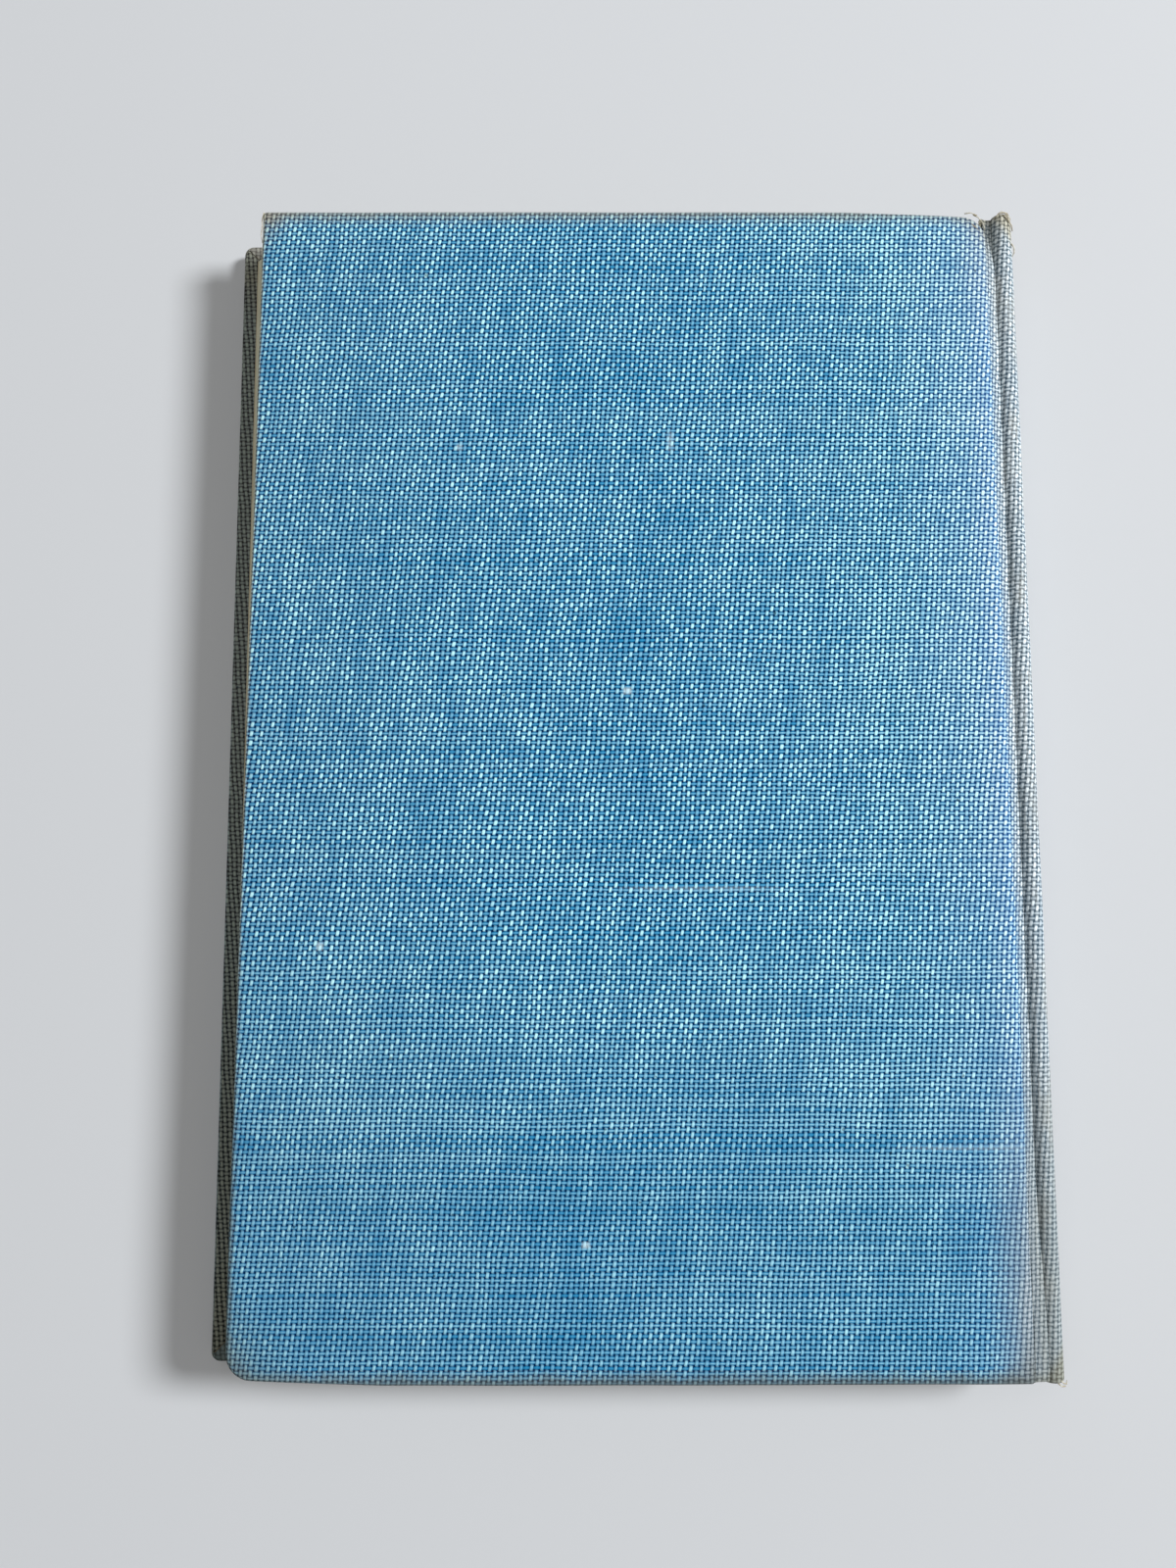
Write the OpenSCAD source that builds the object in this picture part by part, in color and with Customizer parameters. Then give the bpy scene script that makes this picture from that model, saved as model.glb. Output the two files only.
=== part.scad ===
// Small cloth-bound hardback, closed and lying on its front cover.
// X runs from the fore edge to the spine, Y from tail to head, Z up.
// The binding has leaned: the upper half sits further towards the spine than
// the lower half, so pages and spine are sheared in section.
// The origin is the middle of the whole book's footprint, on the surface.

/* [Pages] */
// Height of a page, head to tail
page_h = 184; // [150:1:230]
// Width of a page, spine fold to fore edge
page_w = 124.3; // [95:0.1:160]
// Thickness of the sewn pages with both flyleaves
block_t = 7.5; // [6:0.1:14]
// Thickness of one flyleaf or pastedown
endpaper_t = 0.15; // [0.1:0.01:0.2]
// Number of folded sections that are sewn together
sections = 8; // [5:1:14]
// How far each section's fold is rounded back
fold_round = 0.25; // [0.1:0.01:0.4]
// How much further in the pages' fore edge stands at the tail than at the head
page_skew = 1.2; // [0.2:0.1:2]

/* [Boards] */
// Thickness of a cover board
board_t = 2.1; // [1.6:0.1:3]
// How far the covers reach past the pages at head and tail
head_square = 3; // [1.5:0.1:5]
// How far the upper cover reaches past the top page at the fore edge
fore_square = 1.6; // [1:0.1:4]
// How much further the front cover lies towards the fore edge
board_lean = 6; // [5.6:0.1:6.6]
// Softened outer edge of a covered board
edge_soft = 0.5; // [0.2:0.05:0.8]
// Radius to which the cloth is rubbed round along the spine side of a cover
joint_round = 1.4; // [0.8:0.05:1.6]
// How much narrower the front cover is at the tail than at the head
front_taper = 0.9; // [0.1:0.1:1.5]
// Corner radius where a board is not bumped
corner_r = 0.8; // [0.4:0.1:2]
// Corner radius where the back board is bumped round
bump_r = 4; // [2:0.5:7]
// How far a bumped corner is knocked back
bump_drop = 0.8; // [0.3:0.1:1.5]
// Length over which a bumped edge falls away
bump_run = 24; // [12:1:35]

/* [Cloth] */
// Thickness of the book cloth
cloth_t = 0.35; // [0.25:0.01:0.4]
// Width of cloth folded in over a board's inner face
turn_in = 15; // [10:0.5:20]
// Width of the mitre cut where two turn-ins meet
mitre_w = 0.15; // [0.1:0.01:0.3]
// How far the mitre cut stops short of the board's corner
mitre_stop = 2; // [1.5:0.1:4]

/* [Spine] */
// How much the spine leans from the lower shoulder to the upper one
spine_lean = 6.4; // [5.8:0.1:6.6]
// Radius of the spine's curve across its back
spine_round = 24; // [18:1:60]
// Radius of the shoulder beside each groove
shoulder_r = 1.7; // [1.6:0.05:1.8]
// How far the upper shoulder reaches beyond the hinge line
shoulder_reach = 2.1; // [1.9:0.05:2.15]
// How far a shoulder lies below the face of its board
shoulder_drop = 0.4; // [0.3:0.05:0.6]
// Thickness of the card that stiffens the spine cloth
inlay_t = 0.5; // [0.3:0.05:0.55]
// Free room between the folded-in cloth and the spine lining
hollow = 0.15; // [0.05:0.05:0.3]
// Thickness of the paper lining glued over the mull
lining_t = 0.2; // [0.1:0.05:0.25]
// Thickness of the mull, the open gauze glued over the sewn folds
mull_t = 0.2; // [0.1:0.02:0.22]
// Width of the mull flap glued to each board
mull_flap_w = 22; // [15:1:30]

/* [Sewing] */
// Number of chains of stitches along the spine
stations = 5; // [3:1:7]
// Width of one chain of stitches
stitch_w = 1.2; // [0.8:0.1:1.6]
// Thickness of the thread in a chain
thread_t = 0.4; // [0.3:0.05:0.5]

/* [Joints] */
// Distance from the upper hinge line to the back cover's edge
joint_r = 2.7; // [2.6:0.05:3]
// Distance from the lower hinge line to the front cover's edge
joint_r_low = 3.3; // [3.2:0.05:3.6]
// Gap between a cover and the cloth that stays with the spine
joint_gap = 0.3; // [0.3:0.01:0.35]
// Radius at the bottom of each groove
groove_r = 0.3; // [0.2:0.05:0.35]

/* [Hidden] */

// Cut overshoot, so that no cutting face lies on a cut face
over = 1;
// Points on a quarter turn and across the spine
arc_steps = 8;
// Points on the round of one section's fold
fold_steps = 4;
// Slack round the thread in its notch
thread_fit = 0.05;
// Clear strip between the mull flap and the turn-ins
mull_gap = 1;
// Slope of the inlay's two long edges round the shoulders
inlay_wrap = 70;
// Clearance that lets a shaping cut leave the face it starts from
cut_lead = 0.01;

// Heights of the layers
cover_t = board_t + 2 * cloth_t + endpaper_t;
low_face = cover_t;
high_face = cover_t + block_t;
total_t = 2 * cover_t + block_t;

// Depth of each layer below the outer surface of the spine cloth
inlay_d = cloth_t;
turn_d = inlay_d + inlay_t;
lining_d = turn_d + cloth_t + hollow;
mull_d = lining_d + lining_t;
block_d = mull_d + mull_t;

// Shoulder centres, and the centre of the curve that touches both from inside
high_shoulder = [shoulder_reach - shoulder_r, total_t - shoulder_drop - shoulder_r];
low_shoulder = [high_shoulder.x - spine_lean, shoulder_drop + shoulder_r];
span = high_shoulder - low_shoulder;
lean_angle = atan2(span.x, span.y);
half_turn = asin(norm(span) / 2 / (spine_round - shoulder_r));
centre_back = (spine_round - shoulder_r) * cos(half_turn);
spine_centre = (high_shoulder + low_shoulder) / 2
    + centre_back * [-cos(lean_angle), sin(lean_angle)];
high_turn = half_turn - lean_angle;
low_turn = -half_turn - lean_angle;

// Covers in plan: the hinge line of the back cover is x = 0 here
page_edge = spine_x(block_d, high_face) - page_w;
cover_h = page_h + 2 * head_square;
cover_w = fore_square - page_edge - joint_r;
board_h = cover_h - 2 * cloth_t;
board_w = cover_w - 2 * cloth_t;
board_edge = -joint_r - cloth_t;
mull_h = cover_h - 2 * (turn_in + mull_gap);
back_hinge = [0, total_t - cover_t / 2];
front_hinge = [joint_r_low - joint_r - board_lean, cover_t / 2];
groove_end = -joint_r + joint_gap;

// The whole book is centred on its footprint
book_x = (joint_r + cover_w + board_lean - shoulder_reach) / 2;

// Point of an arc
function on_arc(centre, r, a) = centre + r * [cos(a), sin(a)];

// Arc as points from angle a to angle b
function arc(centre, r, a, b, steps) =
    [for (i = [0:steps]) on_arc(centre, r, a + (b - a) * i / steps)];

// Angle on the spine's curve, at depth d, that reaches height z
function spine_angle(d, z) = asin((z - spine_centre.y) / (spine_round - d));

// Position across the book of the spine's curve at depth d and height z
function spine_x(d, z) = spine_centre.x + (spine_round - d) * cos(spine_angle(d, z));

// Heights of the sections' meeting faces and of the flyleaves' two outer faces
section_t = (block_t - 2 * endpaper_t) / sections;
levels = concat([low_face],
    [for (s = [0:sections]) low_face + endpaper_t + s * section_t],
    [high_face]);

// The spine's curve at depth d between two heights, with a point at each level
function spine_curve(d, z0, z1) = [
    for (z = concat([z0], [for (z = levels) if (z > z0 + 0.001 && z < z1 - 0.001) z], [z1]))
        [spine_x(d, z), z]];

// Line of points in the other order
function reversed(points) = [for (i = [len(points) - 1:-1:0]) points[i]];

// Whole line moved sideways
function moved(points, x) = [for (p = points) p + [x, 0]];

// Shoulder to shoulder at depth d, to the inlay's edges
function back_line(d) = concat(
    arc(high_shoulder, shoulder_r - d, inlay_wrap, high_turn, arc_steps),
    arc(spine_centre, spine_round - d, high_turn, low_turn, arc_steps),
    arc(low_shoulder, shoulder_r - d, low_turn, -inlay_wrap - lean_angle, arc_steps));

// Groove to groove at depth d, round both shoulders
function case_line(d) = concat(
    [[groove_end, high_shoulder.y - groove_r - d]],
    arc(high_shoulder - [shoulder_r + groove_r, 0], groove_r + d, -90, 0, arc_steps),
    arc(high_shoulder, shoulder_r - d, 180, inlay_wrap, arc_steps),
    back_line(d),
    arc(low_shoulder, shoulder_r - d, -inlay_wrap - lean_angle, -180, arc_steps),
    arc(low_shoulder - [shoulder_r + groove_r, 0], groove_r + d, 0, 90, arc_steps),
    [[groove_end - board_lean, low_shoulder.y + groove_r + d]]);

// Rounded folds of the sections, from the lowest to the highest
function fold_line() = [
    for (s = [0:sections - 1])
        for (i = [0:fold_steps])
            let (
                t = i / fold_steps,
                z = low_face + endpaper_t + (s + t) * section_t,
                back = fold_round * (1 - sin(180 * t))
            ) [spine_x(block_d, z) - back - 0.001 * i, z]];

// Section in X and Z, drawn out along Y and centred on it
module along_spine(points, h) {
    translate([0, h / 2, 0])
        rotate([90, 0, 0])
            linear_extrude(h)
                polygon(points);
}

// Strip between two lines of points
module strip(outer, inner, h) {
    along_spine(concat(outer, reversed(inner)), h);
}

// Outline of a board in plan, grown by g, with two opposite corners bumped and
// the fore edge standing in by taper at the tail
function board_outline(g, worn_r, worn_drop, taper) = concat(
    arc([board_edge - board_w + worn_r + taper, worn_r + worn_drop - board_h / 2],
        worn_r + g, 180, 270, arc_steps),
    [[board_edge - board_w + bump_run, -board_h / 2 - g]],
    arc([board_edge - corner_r, corner_r - board_h / 2], corner_r + g, 270, 360, arc_steps),
    arc([board_edge - worn_r, board_h / 2 - worn_r - worn_drop], worn_r + g, 0, 90, arc_steps),
    [[board_edge - bump_run, board_h / 2 + g]],
    arc([board_edge - board_w + corner_r, board_h / 2 - corner_r],
        corner_r + g, 90, 180, arc_steps));

// Flat slab of a board's outline with its outer edge softened, and rounded more
// along the spine side
module soft_slab(g, z0, z1, soft, worn_r, worn_drop, taper) {
    round_r = joint_round - cloth_t + g;
    edge = board_edge + g;
    difference() {
        hull() {
            translate([0, 0, z0])
                linear_extrude(z1 - z0 - soft)
                    polygon(board_outline(g, worn_r, worn_drop, taper));
            translate([0, 0, z0])
                linear_extrude(z1 - z0)
                    polygon(board_outline(g - soft, worn_r, worn_drop, taper));
        }
        along_spine(concat(
            [[edge + over, z1 - round_r]],
            arc([edge - round_r + cut_lead, z1 - round_r + cut_lead], round_r, 0, 90, arc_steps),
            [[edge - round_r, z1 + over], [edge + over, z1 + over]]), board_h + 2 * (g + over));
    }
}

// Rectangle in plan: from one x to another, over height h, between two levels
module panel(x0, x1, h, z0, z1) {
    translate([x0, -h / 2, z0])
        cube([x1 - x0, h, z1 - z0]);
}

// Levels inside a cover, measured from its inner face
board_low = endpaper_t + cloth_t;
board_high = board_low + board_t;
board_soft = edge_soft - cloth_t / 2;
turn_edge = board_edge - board_w - cloth_t + turn_in;
turn_h = cover_h - 2 * turn_in;
mitre_l = (turn_in - mitre_stop) * sqrt(2);

// Board of one cover
module cover_board(worn_r, worn_drop, taper) {
    soft_slab(0, board_low, board_high, board_soft, worn_r, worn_drop, taper);
}

// Cloth of one cover: outer face, four edges and three turn-ins
module cover_cloth(worn_r, worn_drop, taper) {
    difference() {
        soft_slab(cloth_t, endpaper_t, cover_t, edge_soft, worn_r, worn_drop, taper);
        cover_board(worn_r, worn_drop, taper);
        panel(turn_edge, board_edge, turn_h, endpaper_t - over, board_low + board_t / 2);
        for (side = [-1, 1])
            translate([turn_edge, side * turn_h / 2, endpaper_t - over])
                rotate([0, 0, -side * 45])
                    translate([mitre_w - mitre_l, -mitre_w / 2, 0])
                        cube([mitre_l, mitre_w, over + cloth_t]);
    }
}

// Mull glued to the inner face of one board, under the pastedown
module cover_mull_flap() {
    panel(board_edge - mull_flap_w, board_edge, mull_h, board_low - mull_t, board_low);
}

// Endpaper glued inside one cover: raised over turn-ins and mull, sunk between
module cover_pastedown() {
    margin = page_h - turn_h;
    outer_x = turn_edge - margin / 2;
    sunk_x0 = turn_edge + endpaper_t;
    sunk_x1 = board_edge - mull_flap_w - endpaper_t;
    sunk_h = turn_h - 2 * endpaper_t;
    difference() {
        union() {
            panel(outer_x, board_edge, page_h, 0, endpaper_t);
            panel(sunk_x0 - endpaper_t, sunk_x1 + endpaper_t, turn_h, 0, board_low);
        }
        panel(sunk_x0, sunk_x1, sunk_h, -over, board_low - endpaper_t);
    }
}

// Back cover in place: lies face up on the pages
module on_top() {
    translate([book_x, 0, high_face])
        children();
}

// Front cover in place: face down, nearer the fore edge by the lean
module underneath() {
    translate([book_x - board_lean, 0, low_face])
        mirror([0, 0, 1])
            children();
}

// Cut that takes the pages' fore edge further in towards the tail
module skewed_trim() {
    fore = moved(spine_curve(block_d, low_face - over, high_face + over), cut_lead - page_w);
    multmatrix([[1, -page_skew / page_h, 0, page_skew / 2], [0, 1, 0, 0], [0, 0, 1, 0]])
        strip(fore, moved(fore, -over - page_skew), page_h + 2 * over);
}

// Sewn pages: every page is as wide as the next, so the fore edge copies the spine
module text_block() {
    color("wheat")
        translate([book_x, 0, 0])
            difference() {
                along_spine(concat(fold_line(), reversed(moved(
                    spine_curve(block_d, low_face + endpaper_t, high_face - endpaper_t),
                    -page_w))), page_h);
                stitch_chains(thread_fit);
                skewed_trim();
            }
}

// Chains of stitches across the folds, grown by fit
module stitch_chains(fit) {
    first = low_face + endpaper_t + section_t / 2;
    last = high_face - endpaper_t - section_t / 2;
    depth = block_d + fold_round;
    for (i = [1:stations])
        translate([0, page_h * (i / (stations + 1) - 0.5), 0])
            strip(spine_curve(depth - fit, first - fit, last + fit),
                spine_curve(depth + thread_t + fit, first - fit, last + fit), stitch_w + 2 * fit);
}

module sewing_thread() {
    color("ivory")
        translate([book_x, 0, 0])
            stitch_chains(0);
}

// One flyleaf, lying on the pages between two heights
module flyleaf(z0, z1) {
    edge = [for (z = [z0, z1]) [spine_x(block_d, z), z]];
    color("antiquewhite")
        translate([book_x, 0, 0])
            difference() {
                strip(edge, moved(edge, -page_w), page_h);
                skewed_trim();
            }
}

module front_flyleaf() {
    flyleaf(low_face, low_face + endpaper_t);
}

module back_flyleaf() {
    flyleaf(high_face - endpaper_t, high_face);
}

// Gauze over the folds and out onto the flyleaves under both shoulders
module mull() {
    ends = [high_shoulder.x - shoulder_r, low_shoulder.x - shoulder_r];
    color("oldlace")
        translate([book_x, 0, 0])
            strip(
                concat([[ends[1], low_face - mull_t]],
                    spine_curve(mull_d, low_face - mull_t, high_face + mull_t),
                    [[ends[0], high_face + mull_t]]),
                concat([[ends[1], low_face]],
                    spine_curve(block_d, low_face, high_face),
                    [[ends[0], high_face]]),
                mull_h);
}

// Paper glued over the mull
module spine_lining() {
    color("tan")
        translate([book_x, 0, 0])
            strip(spine_curve(lining_d, low_face, high_face),
                spine_curve(mull_d, low_face, high_face), page_h);
}

// Card inside the spine cloth
module spine_inlay() {
    color("burlywood")
        translate([book_x, 0, 0])
            strip(back_line(inlay_d), back_line(turn_d), board_h);
}

// Cloth of the spine from groove to groove, folded in at head and tail
module spine_cloth() {
    color("slategray")
        translate([book_x, 0, 0]) {
            strip(case_line(0), case_line(cloth_t), cover_h);
            for (side = [-1, 1]) {
                translate([0, side * (cover_h - turn_in) / 2, 0])
                    strip(back_line(turn_d), back_line(turn_d + cloth_t), turn_in);
                translate([0, side * (cover_h - cloth_t) / 2, 0])
                    strip(back_line(cloth_t / 2), back_line(turn_d + cloth_t / 2), cloth_t);
            }
        }
}

module front_board() {
    color("darkkhaki")
        underneath()
            cover_board(corner_r, 0, front_taper);
}

module front_cloth() {
    color("steelblue")
        underneath()
            cover_cloth(corner_r, 0, front_taper);
}

module front_mull_flap() {
    color("oldlace")
        underneath()
            cover_mull_flap();
}

module front_pastedown() {
    color("antiquewhite")
        underneath()
            cover_pastedown();
}

module back_board() {
    color("darkkhaki")
        on_top()
            cover_board(bump_r, bump_drop, 0);
}

module back_cloth() {
    color("steelblue")
        on_top()
            cover_cloth(bump_r, bump_drop, 0);
}

module back_mull_flap() {
    color("oldlace")
        on_top()
            cover_mull_flap();
}

module back_pastedown() {
    color("antiquewhite")
        on_top()
            cover_pastedown();
}

text_block();
sewing_thread();
front_flyleaf();
back_flyleaf();
mull();
spine_lining();
spine_inlay();
spine_cloth();
front_board();
front_cloth();
front_mull_flap();
front_pastedown();
back_board();
back_cloth();
back_mull_flap();
back_pastedown();
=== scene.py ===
# %% [markdown]
# # A worn cloth-bound hardback
# The book lies on its front cover with its back cover up, so the spine is on the right. It is dressed
# here piece by piece: cloth over the two boards, cloth across the grooves and the spine, the endpapers
# inside, and the edges of the pages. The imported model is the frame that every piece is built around.

import math

import bmesh
import bpy
from mathutils import Matrix, Vector, noise


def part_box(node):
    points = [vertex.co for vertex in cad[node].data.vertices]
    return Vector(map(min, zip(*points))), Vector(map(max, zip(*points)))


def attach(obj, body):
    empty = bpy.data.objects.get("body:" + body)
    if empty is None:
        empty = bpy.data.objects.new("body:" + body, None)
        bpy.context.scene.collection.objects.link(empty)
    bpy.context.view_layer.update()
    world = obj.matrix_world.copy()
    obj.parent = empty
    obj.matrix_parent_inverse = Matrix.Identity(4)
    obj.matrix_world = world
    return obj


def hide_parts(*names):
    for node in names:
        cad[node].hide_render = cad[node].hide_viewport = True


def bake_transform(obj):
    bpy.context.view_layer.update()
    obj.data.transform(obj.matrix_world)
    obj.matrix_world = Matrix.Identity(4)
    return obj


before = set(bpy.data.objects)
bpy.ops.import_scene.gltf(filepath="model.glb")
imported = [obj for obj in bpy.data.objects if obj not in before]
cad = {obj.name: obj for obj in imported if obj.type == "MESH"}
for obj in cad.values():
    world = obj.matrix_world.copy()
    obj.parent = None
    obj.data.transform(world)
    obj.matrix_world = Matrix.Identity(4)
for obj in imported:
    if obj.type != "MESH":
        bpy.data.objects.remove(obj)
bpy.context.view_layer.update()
MM = 0.001

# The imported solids, and the corners of the four boxes that the rest is measured from.
back_low, back_high = map(Vector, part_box("back_cloth"))
front_low, front_high = map(Vector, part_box("front_cloth"))
spine_low, spine_high = map(Vector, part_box("spine_cloth"))
block_low, block_high = map(Vector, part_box("text_block"))


def narrower(node):
    """How much further in a node's fore edge stands at the tail than at the head."""
    points = [v.co for v in cad[node].data.vertices]
    return min(p.x for p in points if p.y < 0) - min(p.x for p in points if p.y > 0)


front_taper = narrower("front_cloth")
page_skew = narrower("text_block")
lean = back_low.x - front_low.x
print("upper cover", [round(c / MM, 1) for c in back_high - back_low], "mm")
print("the front cover lies", round(lean / MM, 1), "mm nearer the fore edge and narrows by",
      round(front_taper / MM, 1), "mm")

# %% [markdown]
# ## Turning a bmesh into a piece
# Every mesh is finished the same way: the bmesh becomes an object at the origin and rides on its
# body. Cloth and paper are modelled as one surface, and a Solidify modifier gives them their
# thickness.

# %% Making a piece
def piece(name, bm, body, slot, *stands_for):
    """Object from a bmesh, riding on a body."""
    mesh = bpy.data.meshes.new(name)
    bm.to_mesh(mesh)
    bm.free()
    made = bpy.data.objects.new(name, mesh)
    bpy.context.collection.objects.link(made)
    for polygon in mesh.polygons:
        polygon.use_smooth = True
    if body:
        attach(made, body)
    if stands_for:
        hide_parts(*stands_for)
    print(name, "has", len(mesh.polygons), "faces")
    return made


def thicken(made, thickness):
    """Gives a sheet its thickness, inwards."""
    shell = made.modifiers.new("thickness", "SOLIDIFY")
    shell.thickness = thickness
    shell.offset = -1
    shell.use_even_offset = True
    return made


# %% [markdown]
# ## Cloth over a board
# The cloth of a cover is a flat sheet, stretched over the outer face of the board, round its edges and
# 15 mm in over its inner face. A simulation could drape it, but stretched cloth has no slack: it has
# the board's own form with soft edges. So it starts as the outline of the cover. Years of use have
# knocked back two corners of the upper cover, at the tail's fore edge and at the head of the spine,
# and a bevel of the corner points in plan rounds them.

# %% Outlines of the two covers
def round_corners(bm, corners, radius):
    """Rounds corners of a flat outline, in plan."""
    bmesh.ops.bevel(bm, geom=corners, offset=radius, offset_type="OFFSET", segments=8,
                    profile=0.5, affect="VERTICES", material=-1)


def cover_outline(bm, low, high, bump_r, drop, run, plain_r, taper):
    """Outline of a cover at the level of its outer face.

    The tail corner at the fore edge and the head corner at the spine are rounded by bump_r and stand
    back by drop, on a slope that starts a run away. The other two are rounded by plain_r.
    """
    points = [(low.x + taper, low.y + drop), (low.x + run, low.y), (high.x, low.y),
              (high.x, high.y - drop), (high.x - run, high.y), (low.x, high.y)]
    corners = [bmesh.ops.create_vert(bm, co=(x, y, high.z))["vert"][0] for x, y in points]
    bm.faces.new(corners)
    round_corners(bm, [corners[0], corners[3]], bump_r)
    round_corners(bm, [v for v in bm.verts if (v.co.xy - Vector(points[2])).length < 1e-6
                       or (v.co.xy - Vector(points[5])).length < 1e-6], plain_r)


upper, lower = bmesh.new(), bmesh.new()
cover_outline(upper, back_low, back_high, bump_r=4 * MM, drop=0.8 * MM, run=24 * MM,
              plain_r=0.7 * MM, taper=0)
cover_outline(lower, back_low, back_high, bump_r=1.4 * MM, drop=0, run=24 * MM,
              plain_r=1.6 * MM, taper=front_taper)
print("the outlines have", len(upper.verts), "and", len(lower.verts), "points")

# %% [markdown]
# The outline is extruded to the cover's thickness and its edges are bevelled as soft as cloth bends.
# Cuts every few millimetres leave enough points for the dents and the slight crown of an old board,
# and closer ones beside the groove let the outer face fall away there. Both covers are made face up
# in the place of the upper one.

# %% From outline to shell
EDGE_SOFT = 0.55 * MM
INNER_SOFT = 0.42 * MM
JOINT_SLOPE = 1.6 * MM
CELL = 4 * MM


def cut(bm, point, normal, keep=None):
    """Cuts the mesh along a plane, only through the faces that keep picks by their middle."""
    faces = [f for f in bm.faces if keep is None or keep(f.calc_center_median())]
    parts = set(faces)
    for face in faces:
        parts.update(face.edges)
        parts.update(face.verts)
    bmesh.ops.bisect_plane(bm, geom=list(parts), plane_co=point, plane_no=normal, dist=1e-7)


def cut_evenly(bm, axis, start, end, steps):
    """Cuts the mesh into equal strips between two places across the book, or along it for axis 1."""
    normal = Vector((1 - axis, axis, 0))
    for i in range(1, steps):
        cut(bm, normal * (start + (end - start) * i / steps), normal)


def cover_shell(bm, low, high):
    """Makes an outline the outer surface of the cloth of one cover, its outer face up."""
    grown = bmesh.ops.extrude_face_region(bm, geom=bm.faces[:])["geom"]
    bmesh.ops.translate(bm, verts=[v for v in grown if isinstance(v, bmesh.types.BMVert)],
                        vec=(0, 0, low.z - high.z))
    bmesh.ops.recalc_face_normals(bm, faces=bm.faces)
    for level, soft in ((high.z, EDGE_SOFT), (low.z, INNER_SOFT)):
        rim = [e for e in bm.edges if all(abs(v.co.z - level) < 1e-7 for v in e.verts)]
        bmesh.ops.bevel(bm, geom=rim, offset=soft, offset_type="OFFSET", segments=5,
                        profile=0.5, affect="EDGES", clamp_overlap=True, material=-1)
    for axis in (0, 1):
        cut_evenly(bm, axis, low[axis], high[axis], round((high[axis] - low[axis]) / CELL))
    for share in (1.0, 0.8, 0.6, 0.4, 0.2):
        cut(bm, (high.x - share * JOINT_SLOPE, 0, 0), (1, 0, 0))


for cover in (upper, lower):
    cover_shell(cover, back_low, back_high)
    print("a cover's shell has", len(cover.faces), "faces")

# %% [markdown]
# Inside the cover the cloth ends 15 mm in from the edge, so the window between the turn-ins is cut out
# of the shell. At its two corners the sheet is cut off slantwise, and its sides meet there in a mitre.

# %% Turn-ins
TURN_IN = 15 * MM
MITRE_W = 0.15 * MM


def open_inside(bm, low, high):
    """Cuts out the window inside the turn-ins and the mitres at its two corners; counts the faces."""
    sill = low.z + INNER_SOFT / 4
    edge_x, edge_y = low.x + TURN_IN, high.y - TURN_IN
    inside = lambda p: p.z < sill
    for point, normal in (((edge_x, 0, 0), (1, 0, 0)), ((0, edge_y, 0), (0, 1, 0)),
                          ((0, -edge_y, 0), (0, 1, 0))):
        cut(bm, point, normal, inside)
    for side in (-1, 1):
        across = Vector((1, side, 0)).normalized()
        for shift in (-0.5, 0.5):
            corner = Vector((edge_x, side * edge_y, 0)) + across * shift * MITRE_W
            cut(bm, corner, across, lambda p: p.z < sill and p.x < edge_x and side * p.y > edge_y)
    # The mitre stops short of the rounded edge, where the cloth is whole.
    gone = []
    for face in bm.faces:
        p = face.calc_center_median()
        if p.z > sill:
            continue
        window = p.x > edge_x and abs(p.y) < edge_y
        off_mitre = abs((p.x - edge_x) + (abs(p.y) - edge_y)) / math.sqrt(2)
        mitre = p.x < edge_x and abs(p.y) > edge_y and off_mitre < MITRE_W / 2
        if window or (mitre and p.x > low.x + 2 * MM):
            gone.append(face)
    bmesh.ops.delete(bm, geom=gone, context="FACES")
    return len(gone)


for cover in (upper, lower):
    print("faces cut out for the window:", open_inside(cover, back_low, back_high))

# %% [markdown]
# The weave has to run on round every edge as real cloth does, so each point gets its place on the flat
# sheet as a UV map in metres. That is done before the shell is bent, while its faces still lie square.

# %% Unrolling the sheet
def cloth_uv(bm, low, high):
    """Unrolls the cloth: past an edge, it goes on by the depth below the outer face. Gives its width."""
    uv = bm.loops.layers.uv.new("cloth")
    edge_x, edge_y = low.x + TURN_IN, high.y - TURN_IN
    for face in bm.faces:
        centre = face.calc_center_median()
        flat = abs(face.normal.z) > 0.9
        under = flat and centre.z < (low.z + high.z) / 2
        sideways = edge_x - centre.x > abs(centre.y) - edge_y
        for loop in face.loops:
            p = loop.vert.co
            depth = high.z - p.z
            if under and sideways:
                u, v = low.x - depth - (p.x - low.x), p.y
            elif under:
                end = math.copysign(high.y, centre.y)
                u, v = p.x, end + math.copysign(depth, centre.y) + (end - p.y)
            else:
                out = Vector((loop.vert.normal.x, loop.vert.normal.y))
                out = out.normalized() if out.length > 0.05 else Vector((0, 0))
                u, v = p.x + out.x * depth, p.y + out.y * depth
            loop[uv].uv = (u, v)
    across = [loop[uv].uv.x for face in bm.faces for loop in face.loops]
    return max(across) - min(across)


for cover in (upper, lower):
    print("the unrolled sheet is", round(cloth_uv(cover, back_low, back_high) / MM, 1), "mm wide")

# %% [markdown]
# Now the shell is bent as an old cover is. Beside the groove both outer faces are drawn down. The upper
# one gets a slight crown, shallow dents, edges that aren't quite straight and its two knocked corners.
# Noise moves the points, since dents in a board are too broad for a bump in the finish.

# %% Crown, dents and knocks
JOINT_DROP = 0.44 * MM
CROWN = 0.28 * MM
EDGE_WORN = 0.05 * MM
# How wide and how deep each kind of unevenness is.
DENTS = (28 * MM, 0.12 * MM)
FINE_DENTS = (7 * MM, 0.035 * MM)
EDGE_WAVES = (17 * MM, 0.10 * MM)


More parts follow.
